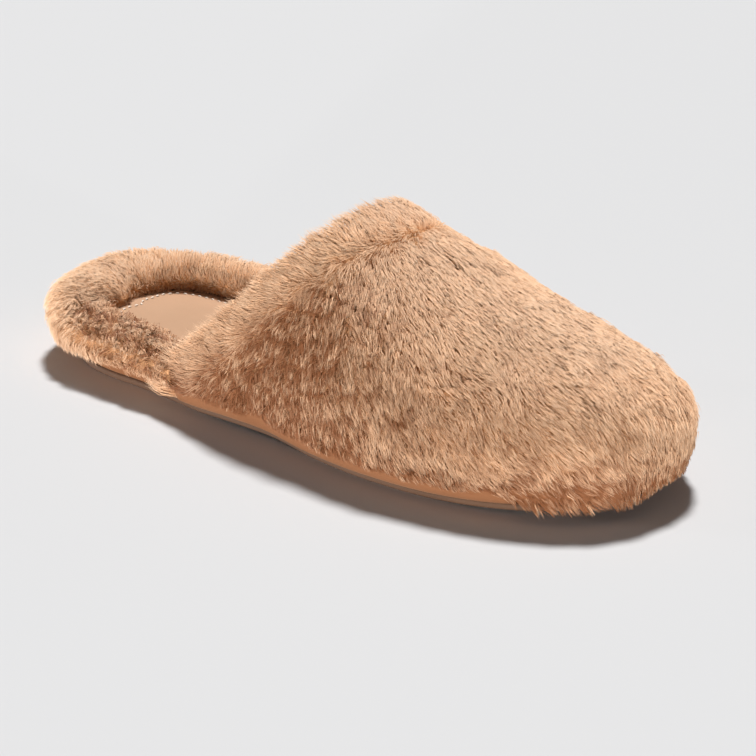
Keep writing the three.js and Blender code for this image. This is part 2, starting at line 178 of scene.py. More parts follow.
def cap_ends(rings):
    """Adds a ring at each end of a tube with all its points at the end's centre, which closes it."""
    ends = [np.repeat(ring.mean(0)[None, None], rings.shape[1], axis=1) for ring in (rings[0], rings[-1])]
    return np.concatenate([ends[0], rings, ends[1]])


SOLE_END = 0.06


def sole_layer(name, edge, crown, finish, across=12, rows=150):
    """A layer of the sole: cross rows from heel to toe, each a ring up one side, over the top, down the
    other side and back underneath. edge lists offset and height from bottom to top, and crown bows the
    top. The rows close up towards both ends as a cosine does, and stop short by the angle SOLE_END."""
    turn = HALF_WAY * (1 - np.cos(np.linspace(SOLE_END, np.pi - SOLE_END, rows))) / 2
    edge = np.array(edge)
    outer = beside(turn[:, None], edge[:, 0], edge[:, 1])
    inner = beside(-turn[:, None], edge[:, 0], edge[:, 1])
    share = np.linspace(0, 1, across)[1:-1][None, :, None]
    top = mix(outer[:, -1:], inner[:, -1:], share)
    wide = np.linalg.norm(outer[:, -1] - inner[:, -1], axis=-1)[:, None] / HEEL_WIDTH
    top[..., 2] += crown * np.minimum(1, wide) * (1 - (2 * share[..., 0] - 1) ** 2)
    under = mix(inner[:, :1], outer[:, :1], share)
    rings = cap_ends(np.concatenate([outer, top, inner[:, ::-1], under], axis=1))
    piece = lay_mesh(name, rings.reshape(-1, 3), grid_faces(*rings.shape[:2], wrap=True), finish)
    close_up(piece)
    return piece


class Value:
    """A shader socket that Python's + and * turn into Math nodes."""

    def __init__(self, finish, socket):
        self.finish = finish
        self.socket = socket

    def join(self, operation, first, second):
        return self.finish.node("ShaderNodeMath", {"operation": operation}, {0: first, 1: second})

    def __add__(self, other):
        return self.join("ADD", self, other)

    def __radd__(self, other):
        return self.join("ADD", other, self)

    def __mul__(self, other):
        return self.join("MULTIPLY", self, other)

    def __rmul__(self, other):
        return self.join("MULTIPLY", other, self)


def spelled(values):
    """Values under the shader's own socket names, as IOR Level for ior_level."""
    return {key.replace("_", " ").title().replace("Ior", "IOR"): value for key, value in values.items()}


class Finish:
    """A material under one Principled shader."""

    def __init__(self, name, **fixed):
        self.material = bpy.data.materials.new(name)
        self.material.use_nodes = True
        self.tree = self.material.node_tree
        self.shader = self.tree.nodes["Principled BSDF"]
        self.feed(self.shader, spelled(fixed))

    def feed(self, node, inputs):
        for key, value in inputs.items():
            if isinstance(value, Value):
                self.tree.links.new(value.socket, node.inputs[key])
            elif isinstance(value, tuple) and len(value) == 3 and node.inputs[key].type == "RGBA":
                node.inputs[key].default_value = (*value, 1)
            else:
                node.inputs[key].default_value = value

    def node(self, kind, settings=None, inputs=None, output=0):
        """Adds a node by type, with its settings first and then the values or links of its inputs."""
        node = self.tree.nodes.new(kind)
        for key, value in (settings or {}).items():
            if key == "stops":
                ramp = node.color_ramp.elements
                while len(ramp) < len(value):
                    ramp.new(1)
                for stop, (place, colour) in zip(ramp, value):
                    stop.position = place
                    stop.color = (*colour, 1)
            else:
                setattr(node, key, value)
        self.feed(node, inputs or {})
        return Value(self, node.outputs[output])

    def place(self):
        return self.node("ShaderNodeTexCoord", output="Object")

    def noise(self, scale, detail=3, roughness=0.55, where=None):
        inputs = {"Vector": where or self.place(), "Scale": scale, "Detail": detail, "Roughness": roughness}
        return self.node("ShaderNodeTexNoise", None, inputs)

    def between(self, factor, start, end):
        return self.node("ShaderNodeMix", {"data_type": "RGBA"}, {0: factor, 6: start, 7: end}, output=2)

    def bump(self, height, strength, distance, under=None):
        inputs = {"Height": height, "Strength": strength, "Distance": distance}
        if under:
            inputs["Normal"] = under
        return self.node("ShaderNodeBump", None, inputs)

    def done(self, **varied):
        self.feed(self.shader, spelled(varied))
        return self.material


def rubber():
    """Brown rubber: a tread of fine crossing ribs, with a faint mottle."""
    finish = Finish("outsole_rubber", specular_ior_level=0.35)
    place = finish.place()
    ribs = finish.node("ShaderNodeTexVoronoi", {"feature": "F1", "distance": "CHEBYCHEV"},
                       {"Vector": place, "Scale": 320.0, "Randomness": 0.0})
    grain = finish.noise(900.0, where=place)
    colour = finish.between(finish.noise(60.0, where=place), (0.11, 0.055, 0.030), (0.17, 0.090, 0.050))
    raised = finish.bump(ribs, 0.55, 0.0006)
    normal = finish.bump(grain, 0.2, 0.0002, raised)
    return finish.done(base_color=colour, roughness=0.62 + 0.25 * grain, normal=normal)


outsole = sole_layer("outsole_tread", [
    (-1.0, 0.0), (-0.35, 0.12), (0.0, 0.8), (0.0, OUTSOLE_THICK - 0.4), (-0.6, OUTSOLE_THICK),
], 0.0, rubber(), across=4)
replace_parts(outsole, "outsole")


# Midsole: a foam slab wrapped in tan suede-like cloth, pulled under and glued to the outsole.
# Its side is the strip that shows under the fur.

SEAT_GAP = 0.3
MIDSOLE_THICK = 6.6
MIDSOLE_BASE = OUTSOLE_THICK + SEAT_GAP
MIDSOLE_TOP = MIDSOLE_BASE + MIDSOLE_THICK


def suede(name, dark, pale, nap, creases):
    """Brushed cloth: a soft nap, a faint mottle and, on the sole's side, the creases of the pulled wrap."""
    finish = Finish(name, specular_ior_level=0.15, sheen_weight=0.15, sheen_tint=(0.85, 0.55, 0.35))
    place = finish.place()
    mottle = finish.noise(55.0, 4, where=place)
    fine = finish.noise(nap, 5, 0.65, where=place)
    colour = finish.between(mottle * 0.55 + fine * 0.45, dark, pale)
    soft = finish.bump(fine, 0.35, 0.00025)
    normal = finish.bump(finish.noise(creases, 2, where=place), 0.25, 0.0012, soft)
    return finish.done(base_color=colour, roughness=0.78 + 0.2 * fine, normal=normal)


sole_suede = suede("sole_suede", (0.25, 0.10, 0.042), (0.36, 0.155, 0.070), nap=1500.0, creases=140.0)
midsole = sole_layer("midsole_wrap", [
    (-0.9, MIDSOLE_BASE), (-0.25, MIDSOLE_BASE + 0.2), (0.0, MIDSOLE_BASE + 0.9),
    (0.12, MIDSOLE_BASE + 3.2), (0.0, MIDSOLE_TOP - 1.0), (-0.3, MIDSOLE_TOP - 0.3), (-0.9, MIDSOLE_TOP),
], 0.0, sole_suede, across=4)
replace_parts(midsole, "midsole")


# Insole: foam under smooth tan microsuede, slightly crowned, stitched down a little inside the fur.
# The stitches are short pale threads that dip into the cloth at both ends.

INSOLE_THICK = 8.2
INSOLE_CROWN = 1.6
INSOLE_INSET = 1.2
INSOLE_BASE = MIDSOLE_TOP + SEAT_GAP
INSOLE_TOP = INSOLE_BASE + INSOLE_THICK
RIM_REACH = 17.0
RIM_AT = np.array([-1.0, -0.5, -0.15, 0.20, 0.5, 1.0])
RIM_INWARDS = np.array([0.38, 0.42, 0.90, 1.06, 0.50, 0.32])
STITCH_GAP = 4.2
STITCH_LONG = 1.5
STITCH_PITCH = 2.9
STITCH_THICK = 0.8
STITCH_FLAT = 0.45
STITCH_RISE = 0.26
STITCH_SINK = 0.12
STITCH_RINGS = 5
STITCH_SIDES = 4


def round_heel(turn, shares):
    """A share that changes around the heel, eased between the places in RIM_AT, inner corner first."""
    at = np.clip(np.asarray(turn, float) / HEEL_STEPS, -1, 1)
    after = np.clip(np.searchsorted(RIM_AT, at), 1, len(RIM_AT) - 1)
    part = (at - RIM_AT[after - 1]) / (RIM_AT[after] - RIM_AT[after - 1])
    return mix(shares[after - 1], shares[after], smooth(part))


def insole_height(points):
    """Height of the crowned top at points on the insole: it falls with the square of the share of the
    half width."""
    along = np.clip(points[:, 0] / LENGTH, 0.01, 0.99)
    inner = points[:, 1] > middle(along)
    share = np.abs(points[:, 1] - middle(along)) / np.maximum(half_width(along, inner) - 3, 1)
    return INSOLE_TOP + INSOLE_CROWN * (1 - np.minimum(share, 1) ** 2) + lift(points[:, 0])


microsuede = suede("insole_microsuede", (0.54, 0.325, 0.200), (0.67, 0.42, 0.268), nap=2200.0, creases=60.0)
insole = sole_layer("insole_cover", [
    (-INSOLE_INSET, INSOLE_BASE), (-INSOLE_INSET, INSOLE_TOP - 1.6),
    (-INSOLE_INSET - 0.3, INSOLE_TOP - 0.7), (-INSOLE_INSET - 0.9, INSOLE_TOP - 0.2),
    (-INSOLE_INSET - 1.8, INSOLE_TOP),
], INSOLE_CROWN, microsuede, across=26)
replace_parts(insole, "insole")


def thread():
    """Pale polyester sewing thread."""
    finish = Finish("insole_thread", roughness=0.6, specular_ior_level=0.3)
    colour = finish.between(finish.noise(1800.0), (0.82, 0.66, 0.52), (0.95, 0.82, 0.70))
    return finish.done(base_color=colour)


def stitch_row():
    """Stitches along the inner edge of the fur. Each is a flat four-sided bow of five rings, whose ends dip
    into the cloth. It is shaded with level normals, as the cloth around it is."""
    fine = np.linspace(-HEEL_STEPS - 8, HEEL_STEPS + 8, 1200)
    line = beside(fine, -RIM_REACH * round_heel(fine, RIM_INWARDS) - STITCH_GAP, 0.0)
    run = np.concatenate([[0], np.cumsum(np.linalg.norm(np.diff(line, axis=0), axis=1))])
    starts = np.arange(STITCH_PITCH, run[-1] - STITCH_PITCH, STITCH_PITCH)
    share = np.linspace(0, 1, STITCH_RINGS)
    bow = np.sin(np.pi * share)
    at = starts[:, None] + share * STITCH_LONG
    spine = np.stack([np.interp(at, run, line[:, axis]) for axis in range(3)], -1)
    ahead = np.stack([np.interp(at + 0.1, run, line[:, axis]) for axis in range(3)], -1) - spine
    ahead /= np.linalg.norm(ahead, axis=-1, keepdims=True)
    up = np.array([0.0, 0.0, 1.0])
    side = np.cross(ahead, up)
    thick = STITCH_THICK / 2 * (0.35 + 0.65 * bow)[None, :, None]
    flat = thick * STITCH_FLAT
    cloth = insole_height(spine.reshape(-1, 3)).reshape(at.shape)
    spine[..., 2] = cloth - STITCH_SINK + STITCH_RISE * bow
    rings = [spine + side * thick, spine - up * flat, spine - side * thick, spine + up * flat]
    points = np.stack(rings, 2).reshape(-1, 3)
    each = STITCH_RINGS * STITCH_SIDES
    ends = np.array([[0, 3, 2, 1], [each - 4, each - 3, each - 2, each - 1]])
    one = np.concatenate([grid_faces(STITCH_RINGS, STITCH_SIDES, wrap=True), ends])
    faces = (one[None] + each * np.arange(len(starts))[:, None, None]).reshape(-1, 4)
    level = np.tile(up, (len(points), 1))
    return lay_mesh("insole_stitches", points, faces, thread(), leaning=level)


stitch_row()


# Heel rim: a roll of faux fur around the heel, sewn between the insole's edge and the sole.
# The backing is a closed roll, and the pile on it is many tapered hairs combed in locks from root to tip.

RIM_HEIGHT = 10.0
RIM_TALL = np.array([1.0, 1.0, 0.95, 0.80, 0.34, 0.26])
RIM_DROOP = 5.0
RIM_BULGE = 11.0
RIM_LOW_EDGE = 6.0
RIM_END = HEEL_STEPS - 0.35
RIM_LOW = ((0.45, RIM_LOW_EDGE), (0.90, mix(RIM_LOW_EDGE, INSOLE_TOP, 0.35)))
RIM_OUTSIDE = ((1.0, 0.05), (0.76, 0.62), (0.10, 1.0))
RIM_INSIDE = ((0.55, 0.95), (0.93, 0.60), (1.0, 0.22), (0.88, -0.06))
UNDERFUR_DEPTH = 2.6
HAIR_THICK = 0.25
HAIRS_PER_MM2 = 4.5
RIM_PILE_LONG = 4.5
RIM_PILE_TALL = 4.4


def unit(vectors):
    return vectors / np.maximum(np.linalg.norm(vectors, axis=-1, keepdims=True), 1e-9)


def curve_between(before, here, after, later, share):
    """The Catmull-Rom curve from here to after, at a share of the way: its place and its slope."""
    bend = 2 * before - 5 * here + 4 * after - later
    twist = 3 * (here - after) + later - before
    place = here + 0.5 * ((after - before) * share + bend * share ** 2 + twist * share ** 3)
    slope = 0.5 * (after - before) + bend * share + 1.5 * twist * share ** 2
    return place, slope


def rim_surface(turn, climb, grow):
    """The roll's surface. climb goes from 0 at its low outer edge over the crest to 1 at its inner foot on
    the insole, as a smooth curve through given places, and grow moves it along its own normal. The
    places outside are shares of the bulge, drooping with the square of the share where the roll is
    flattened, and those inside are shares of its reach over the insole."""
    turn, climb = np.broadcast_arrays(np.asarray(turn, float), np.asarray(climb, float))
    seat = INSOLE_TOP + SEAT_GAP + INSOLE_CROWN * 0.75
    tall = round_heel(turn, RIM_TALL)
    reach, height = RIM_REACH * round_heel(turn, RIM_INWARDS), RIM_HEIGHT * tall
    droop = RIM_DROOP * (1 - tall)
    places = [(RIM_BULGE * out, np.full(turn.shape, level)) for out, level in RIM_LOW]
    places += [(RIM_BULGE * out, seat + height * up - droop * out ** 2) for out, up in RIM_OUTSIDE]
    places += [(-reach * back, seat + height * up) for back, up in RIM_INSIDE]
    places = np.stack([np.stack(np.broadcast_arrays(out, up), -1) for out, up in places])
    spans = len(places) - 1
    flat = climb * spans
    cell = np.clip(np.floor(flat).astype(int), 0, spans - 1)
    near = [np.take_along_axis(places, np.clip(cell + step, 0, spans)[None, ..., None], 0)[0]
            for step in (-1, 0, 1, 2)]
    curve, slope = curve_between(*near, (flat - cell)[..., None])
    slope = unit(slope)
    return beside(turn, curve[..., 0] + slope[..., 1] * grow, curve[..., 1] - slope[..., 0] * grow)


def scatter(surface, turns, climbs, density, random):
    """Roots spread evenly over a surface of two parameters, so many to the square millimetre: tries are
    kept by the area around each. Gives points, outward normals, both parameters and the two directions."""
    tries = 120000
    turn = random.uniform(*turns, tries)
    climb = random.uniform(*climbs, tries)
    turn_step, climb_step = 0.02, 0.002
    point = surface(turn, climb)
    along = (surface(turn + turn_step, climb) - surface(turn - turn_step, climb)) / (2 * turn_step)
    up = (surface(turn, climb + climb_step) - surface(turn, climb - climb_step)) / (2 * climb_step)
    cross = np.cross(along, up)
    area = np.linalg.norm(cross, axis=1)
    whole = area.mean() * (turns[1] - turns[0]) * (climbs[1] - climbs[0])
    keep = random.choice(tries, int(whole * density), replace=False, p=area / area.sum())
    return point[keep], unit(cross[keep]), turn[keep], climb[keep], unit(along[keep]), unit(up[keep])


def wander(points, size, seed):
    """A smooth random number between -1 and 1 over space: five sine waves of about the given size, added."""
    random = np.random.default_rng(seed)
    waves = unit(random.normal(size=(5, 3))) * (2 * np.pi / size) * random.uniform(0.6, 1.5, (5, 1))
    return np.sin(points @ waves.T + random.uniform(0, 6.28, 5)).mean(1) * 1.6


def lock_numbers(points, size):
    """Gathers points into locks: each joins the nearest scattered centre in its own and the next cells.
    A centre's place in its cell comes from the cell's number, multiplied by large primes."""
    cell = np.floor(points / size).astype(int)
    best = np.full(len(points), np.inf)
    number = np.zeros(len(points), int)
    for step in np.ndindex(3, 3, 3):
        near = cell + np.array(step) - 1
        code = (near * np.array([73856093, 19349663, 83492791])).sum(1) & 0xFFFFF
        jitter = np.stack([(code * prime % 9973) / 9973 for prime in (7919, 6101, 4099)], -1)
        distance = np.linalg.norm(points - (near + jitter) * size, axis=1)
        closer = distance < best
        best[closer] = distance[closer]
        number[closer] = code[closer]
    return np.unique(number, return_inverse=True)[1]


LOCK_SIZE = 0.8
TUFT_SIZE = 6.0
BEND_LEVEL = 0.82
BEND_PLACE = 0.42
TIP_LEVEL = 0.86
ROUND_SHADE = 0.45
LEAN_UP = 0.45

# How much hairs, locks and tufts differ among themselves: in direction, length, height and shade
HAIR_SWING, LOCK_SWING, TUFT_SWING = 0.08, 0.20, 0.10
HAIR_LONG, LOCK_LONG = 0.14, 0.08
HAIR_TALL, LOCK_TALL, TUFT_TALL = 0.10, 0.10, 0.10
HAIR_TONE, LOCK_TONE, TUFT_TONE = 0.08, 0.24, 0.06


def gather_in(points, lock, locks, pull):
    """Moves points towards the mean of their lock by the share pull."""
    share = np.maximum(np.bincount(lock, minlength=locks), 1)[:, None]
    centre = np.stack([np.bincount(lock, points[:, axis], locks) for axis in range(3)], -1) / share
    return points + (centre[lock] - points) * np.reshape(pull, (-1, 1))


def comb_fur(name, roots, normal, flow, pile, height, lowest, shade, gather, crisp, finish, random):
    """Fur as one mesh. Each hair is a closed three-sided spindle: it leaves the backing along the normal,
    is widest at its bend, and lies over into the flow to a point. Fine locks and broad tufts lean together
    by the gather share, and crisp fur shows its locks more. No tip hangs below the level lowest over the
    sole's curve. The hairs are shaded mostly by the skin's normal turned up a little, as fine pile
    scatters light. The edges of a tuft are darker than its middle, by the gather share: painted shade
    for the gaps between tufts."""
    count = len(roots)
    flow = unit(flow - normal * (flow * normal).sum(1, keepdims=True))
    side = np.cross(normal, flow)
    lock = lock_numbers(roots, LOCK_SIZE)
    tuft = lock_numbers(roots, TUFT_SIZE)
    locks, tufts = lock.max() + 1, tuft.max() + 1
    crisp = np.broadcast_to(crisp, count)

    def vary(amount, number=None, numbers=count):
        drawn = random.normal(0, amount, numbers)
        return drawn if number is None else drawn[number]

    turned = vary(LOCK_SWING, lock, locks) * (0.4 + 0.6 * crisp) + vary(TUFT_SWING, tuft, tufts)
    flow = unit(flow + side * (turned + vary(HAIR_SWING))[:, None])
    long = pile * (1 + vary(LOCK_LONG, lock, locks) + vary(HAIR_LONG))
    tall = height * (1 + vary(LOCK_TALL, lock, locks) + vary(TUFT_TALL, tuft, tufts))
    rise = normal * (tall * (1 + vary(HAIR_TALL)))[:, None]
    lie = flow * long[:, None]
    tip = roots + rise * TIP_LEVEL + lie
    allowed = roots[:, 2] - (lowest + lift(roots[:, 0])) * random.uniform(0.75, 1.1, count)
    drop = roots[:, 2] - tip[:, 2]
    short = np.where(drop > allowed, np.clip(allowed / np.maximum(drop, 1e-6), 0.2, 1), 1)[:, None]
    bend = roots + (rise * BEND_LEVEL + lie * BEND_PLACE) * short
    tip = roots + (tip - roots) * short
    bend = gather_in(bend, lock, locks, 0.2 * crisp)
    tip = gather_in(tip, lock, locks, 0.08 + 0.30 * crisp)
    tip = gather_in(tip, tuft, tufts, gather * 0.4)
    width = (HAIR_THICK / 2 * random.uniform(0.7, 1.3, count))[:, None]
    across = unit(np.cross(normal, tip - roots) + side * 1e-3)
    round_it = [across * np.cos(angle) + normal * np.sin(angle) for angle in np.radians((90, 210, 330))]
    points = np.stack([roots, *(bend + way * width for way in round_it), tip], 1)
    raised = unit(normal + np.array([0.0, 0.0, LEAN_UP]))
    leaning = unit(np.stack([raised, *(raised + way * ROUND_SHADE for way in round_it), raised], 1))
    spindle = np.array([(0, 2, 1), (0, 3, 2), (0, 1, 3), (1, 2, 4), (2, 3, 4), (3, 1, 4)])
    faces = (spindle[None] + points.shape[1] * np.arange(count)[:, None, None]).reshape(-1, 3)
    edge = np.linalg.norm(roots - gather_in(roots, tuft, tufts, 1.0), axis=1) / TUFT_SIZE
    tone = shade + vary(HAIR_TONE)
    tone = tone + vary(LOCK_TONE, lock, locks) * (0.2 + 0.8 * crisp + 0.5 * gather)
    # Painted shade: the tone darkens towards each tuft's edge, standing in for the shade in the gaps between
    # tufts.
    tone = tone + vary(TUFT_TONE, tuft, tufts) - gather * 0.75 * smooth((edge - 0.3) / 0.3)
    tone = np.clip(tone, 0.02, 0.98)
    way = np.array([0.02, 0.5, 0.5, 0.5, 0.98])
    fur_map = np.stack(np.broadcast_arrays(tone[:, None], way[None]), -1).reshape(-1, 2)
    return lay_mesh(name, points.reshape(-1, 3), faces, finish, fur_map, leaning.reshape(-1, 3))


def pile_finish(name):
    """Faux fur: each hair goes from a brown root to a pale tip, and its own shade is dark to pale."""
    finish = Finish(name, roughness=0.6, specular_ior_level=0.12)
    own_map = finish.node("ShaderNodeUVMap", {"uv_map": "OFBake"})
    split = finish.tree.nodes.new("ShaderNodeSeparateXYZ")
    finish.feed(split, {0: own_map})
    shade, way = Value(finish, split.outputs[0]), Value(finish, split.outputs[1])
    dark = finish.node("ShaderNodeValToRGB", {"stops": [
        (0.0, (0.20, 0.065, 0.022)), (0.45, (0.27, 0.095, 0.036)), (1.0, (0.36, 0.145, 0.060)),
    ]}, {0: way})
    pale = finish.node("ShaderNodeValToRGB", {"stops": [
        (0.0, (0.80, 0.38, 0.17)), (0.45, (0.92, 0.545, 0.315)), (1.0, (0.95, 0.675, 0.46)),
    ]}, {0: way})
    return finish.done(base_color=finish.between(shade, dark, pale))


def underfur_finish(name):
    """The dense short pile at the roots, seen only in the gaps between the locks."""
    finish = Finish(name, roughness=0.9, specular_ior_level=0.1)
    place = finish.place()
    fine = finish.noise(1400.0, 3, where=place)
    mottle = finish.noise(120.0, where=place) * 0.5 + fine * 0.5
    colour = finish.between(mottle, (0.80, 0.38, 0.17), (0.92, 0.52, 0.27))
    return finish.done(base_color=colour, normal=finish.bump(fine, 0.8, 0.0015))


def rim_pelt(turn, climb):
    """The backing that the roll's hair grows from, sunk by the underfur's depth except at its foot."""
    return rim_surface(turn, climb, -UNDERFUR_DEPTH * smooth((1.0 - climb) / 0.2))


def rim_backing():
    """The roll as rings of points from one end to the other, each end closed on its own centre."""
    turn = np.linspace(-RIM_END, RIM_END, 120)
    climb = np.linspace(0, 1, 34)
    rings = rim_pelt(turn[:, None], climb[None, :])
    inside = np.stack([
        beside(turn, -INSOLE_INSET, INSOLE_TOP + SEAT_GAP + INSOLE_CROWN * 0.5),
        beside(turn, SEAT_GAP, INSOLE_TOP), beside(turn, SEAT_GAP, RIM_LOW_EDGE + 2.6),
    ], 1)
    rings = cap_ends(np.concatenate([rings, inside], 1))
    faces = grid_faces(*rings.shape[:2], wrap=True)
    return lay_mesh("rim_backing", rings.reshape(-1, 3), faces, underfur_finish("rim_underfur"))


def rim_pile():
    """Hair on the roll: combed from inside up over the crest and down outside, and turned down to the
    insole at the wall's foot. On the flat outer side, where the heel treads it, it is short, curly and
    darker, and it lies lower towards the corner, where the vamp's lip hangs over it. Its tone is also
    darkened on the inner wall, low on the outer side and towards the corner: painted shade in the
    recess, near the ground and under the overhanging lip."""
    random = np.random.default_rng(11)
    roots, normal, turn, climb, along, up = scatter(
        rim_pelt, (-RIM_END, RIM_END), (0.08, 0.99), HAIRS_PER_MM2, random)
    outer_side = smooth((turn - 4.0) / 4.5)
    curly = outer_side * smooth((climb - mix(0.36, 0.10, smooth((turn - 7.0) / 4.0))) / 0.16)
    plush = 1 - curly
    foot = smooth((climb - 0.80) / 0.14)
    wall = smooth((climb - 0.60) / 0.2) * plush
    low = smooth((0.42 - climb) / 0.3)
    tucked = smooth((turn - 12.0) / 2.0)
    twirl = np.stack([wander(roots, 3.2, seed) for seed in (3, 4)], -1) * (0.35 + 1.3 * curly)[:, None]
    down = (mix(1.0, 0.25, curly) - 1.3 * foot)[:, None]
    flow = up * (twirl[:, :1] - down) + along * (0.12 + twirl[:, 1:])
    pile = RIM_PILE_LONG + 1.0 * low * plush - 1.5 * curly - 3.0 * foot * plush
    height = RIM_PILE_TALL - 1.2 * low - 2.0 * wall - 1.0 * foot * plush - 0.7 * curly - 1.4 * tucked
    # Painted shade: the tone darkens towards the corner under the lip, low on the outer side and on the
    # inner wall; the darker curly pile is the hair's own colour.
    shade = 0.97 - 0.38 * curly - 0.15 * tucked - 0.30 * outer_side * low
    shade = shade - 0.12 * wall + 0.10 * wander(roots, 12.0, 5)
    gather = np.clip(0.14 + 0.60 * curly + 0.10 * wander(roots, 10.0, 6), 0, 0.85)
    crisp = np.clip(0.05 + 0.7 * curly + 0.4 * outer_side * low, 0, 1)
    lowest = RIM_LOW_EDGE + 0.8 + 2.8 * smooth((turn - 5.0) / 6.0)
    return comb_fur("rim_pile", roots, normal, flow, pile, height, lowest, shade, gather, crisp,
                    pile_finish("rim_hair"), random)


rim = rim_backing()
close_up(rim)
rim_fur = rim_pile()
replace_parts(rim, "heel_rim")
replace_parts(rim_fur, "heel_rim")


# Upper: one piece of faux fur on a woven backing, lined with soft knit, closed over the toes and sewn in
# between midsole and outsole. The pile is combed from a crown at the collar, and back over the collar's lip.

INSTEP_HEIGHT = 81.5
WALL = 11.0
LOCK_DEPTH = 4.0
WIDEST_LEVEL = 18.0
HEM_LEVEL = 3.4
COLLAR_TOP_AT = 132.0
TOE_POLE = 0.81
BACKING_FACE = 1.1
LINING_THICK = 1.2
ROLL_POINTS = 9
BAND_TOP = 0.74
BAND_EDGE = 0.12
BAND_STAND = 0.25
BAND_EDGE_SINK = 0.3
BAND_INSIDE = 0.6
DOME_FULL = 2.2
COLLAR_SLANT = 0.9
COLLAR_BLEND = 1.6
RIDGE_AT = np.array([0.30, 0.52, 0.62, 0.74, 0.85, 0.94, 1.06])
RIDGE_HEIGHT = np.array([1.02, 1.00, 0.90, 0.76, 0.66, 0.60, 0.49])


def ridge_height(x):
    """Height of the vamp's ridge: a smooth curve through the given shares of length and height."""
    spans = len(RIDGE_AT) - 1
    fine = np.linspace(0, spans, 400)
    cell = np.clip(fine.astype(int), 0, spans - 1)
    near = [np.clip(cell + step, 0, spans) for step in (-1, 0, 1, 2)]
    along, up = (curve_between(*(places[at] for at in near), fine - cell)[0]
                 for places in (RIDGE_AT, RIDGE_HEIGHT))
    return np.interp(x / LENGTH, along, up) * INSTEP_HEIGHT


def dome(turn, climb, offset, base, drop):
    """The vamp's dome. Along a column the plan runs from the foot beside the outline to the ridge, and the
    height rises as a superellipse. Columns at the collar slant back, and those at the toe fan out."""
    foot = beside(turn, offset, 0.0)
    from_toe = np.clip(np.abs(turn - HALF_WAY) / TOE_STEPS, 0, 1)
    top = mix(COLLAR_TOP_AT, TOE_POLE * LENGTH, np.sin((1 - from_toe) * np.pi / 2))
    reach = np.cos(np.clip(climb, 0, 1) * np.pi / 2)
    rise = (1 - reach ** DOME_FULL) ** (1 / DOME_FULL)
    slanted = smooth(from_toe * COLLAR_BLEND - COLLAR_BLEND + 1)
    x = mix(top, foot[..., 0], mix(reach, 1 - rise ** COLLAR_SLANT, slanted))
    y = mix(middle(top / LENGTH), foot[..., 1], reach)
    return np.stack([x, y, base + (ridge_height(x) - drop - base) * rise + lift(x)], -1)


def vamp_surface(turn, climb, grow):
    """The outer skin: climb goes from 0 at the hem through 1 at the widest level to 2 at the ridge.
    The hem is a quarter turn that tucks under, and grow moves the skin outwards."""
    turn, climb = np.broadcast_arrays(np.asarray(turn, float), climb)
    tuck = np.clip(climb, 0, 1) * np.pi / 2
    out = (WALL - LOCK_DEPTH) * (0.24 + 0.76 * np.sin(tuck)) + grow
    level = mix(HEM_LEVEL, WIDEST_LEVEL, (1 - np.cos(tuck)) ** 1.3)
    hem = beside(turn, out, level)
    above = dome(turn, climb - 1, WALL - LOCK_DEPTH + grow, WIDEST_LEVEL, 0.0)
    above[..., 2] += grow * np.sin(np.clip(climb - 1, 0, 1) * np.pi / 2)
    return np.where((climb > 1)[..., None], above, hem)


def lining_surface(turn, climb, grow):
    """The inner skin, one wall inside the outer one, with the same climb."""
    turn, climb = np.broadcast_arrays(np.asarray(turn, float), climb)
    low = beside(turn, SEAT_GAP + grow, mix(HEM_LEVEL + 0.2, INSOLE_TOP + 1, np.clip(climb, 0, 1)))
    above = dome(turn, climb - 1, SEAT_GAP + grow, INSOLE_TOP + 1, WALL - LOCK_DEPTH - grow)
    return np.where((climb > 1)[..., None], above, low)


VAMP_TURNS = (HEEL_STEPS, ALL_ROUND - HEEL_STEPS)


def pelt_surface(turn, climb):
    """The backing that the hair grows from: the outer skin, sunk by the underfur's depth above the hem."""
    return vamp_surface(turn, climb, -UNDERFUR_DEPTH * smooth((climb - 0.2) / 0.5))


def backing_inside(turn, climb):
    """The backing's inner face, just inside the lining's outer one, so that no gap shows between them."""
    return lining_surface(turn, climb, BACKING_FACE)


def low_corner(climb):
    """A share that is 1 at the collar's low corners and fades out above them."""
    return smooth((1.35 - climb) / 0.6)


def lip_bulge(climb):
    """How far the collar's rolled edge stands out, as a share of a half round: most at its low corners."""
    return 0.75 + 1.3 * low_corner(climb) * smooth(climb / 0.4)


def even_bulge(climb):
    return np.full(climb.shape, 0.5)


def lip_roll(outer, inner, next_one, angle, bulge):
    """The collar's edge: a half round from the outer skin to the inner one, away from the next column."""
    half = (outer - inner) / 2
    back = unit(outer - next_one) * np.linalg.norm(half, axis=-1, keepdims=True) * bulge
    back[..., 2] *= 0.4
    return mix(outer, inner, 0.5) + half * np.cos(angle)[..., None] + back * np.sin(angle)[..., None]


def hollow_shell(name, outer_skin, inner_skin, bulge, finish, columns=110, rows=46):
    """A closed wall between two skins, open at the collar and underneath, rolled over at the collar."""
    turn = np.linspace(*VAMP_TURNS, columns)[:, None]
    climb = np.linspace(0, 2, rows)[None, :]
    outer, inner = outer_skin(turn, climb), inner_skin(turn, climb)
    for skin in (outer, inner):
        skin[:, -1] = mix(skin[:, -1], skin[::-1, -1], 0.5)
    sheets = [outer, inner, np.stack([outer[:, 0], inner[:, 0]], 1)]
    for edge, next_one in ((0, 1), (-1, -2)):
        angle = np.linspace(0, np.pi, ROLL_POINTS)[:, None]
        stand = bulge(climb[0])[None, :, None]
        roll = lip_roll(outer[edge][None], inner[edge][None], outer[next_one][None], angle, stand)
        roll[:, -1, 1] = middle(COLLAR_TOP_AT / LENGTH)
        sheets.append(roll)
        hem_fan = np.repeat(roll[:1, :1], ROLL_POINTS, axis=0)
        sheets.append(np.concatenate([roll[:, :1], hem_fan], 1))
    points, faces, count = [], [], 0
    for sheet in sheets:
        points.append(sheet.reshape(-1, 3))
        faces.append(grid_faces(*sheet.shape[:2]) + count)
        count += len(points[-1])
    piece = lay_mesh(name, np.concatenate(points), np.concatenate(faces), finish)
    close_up(piece)
    return piece


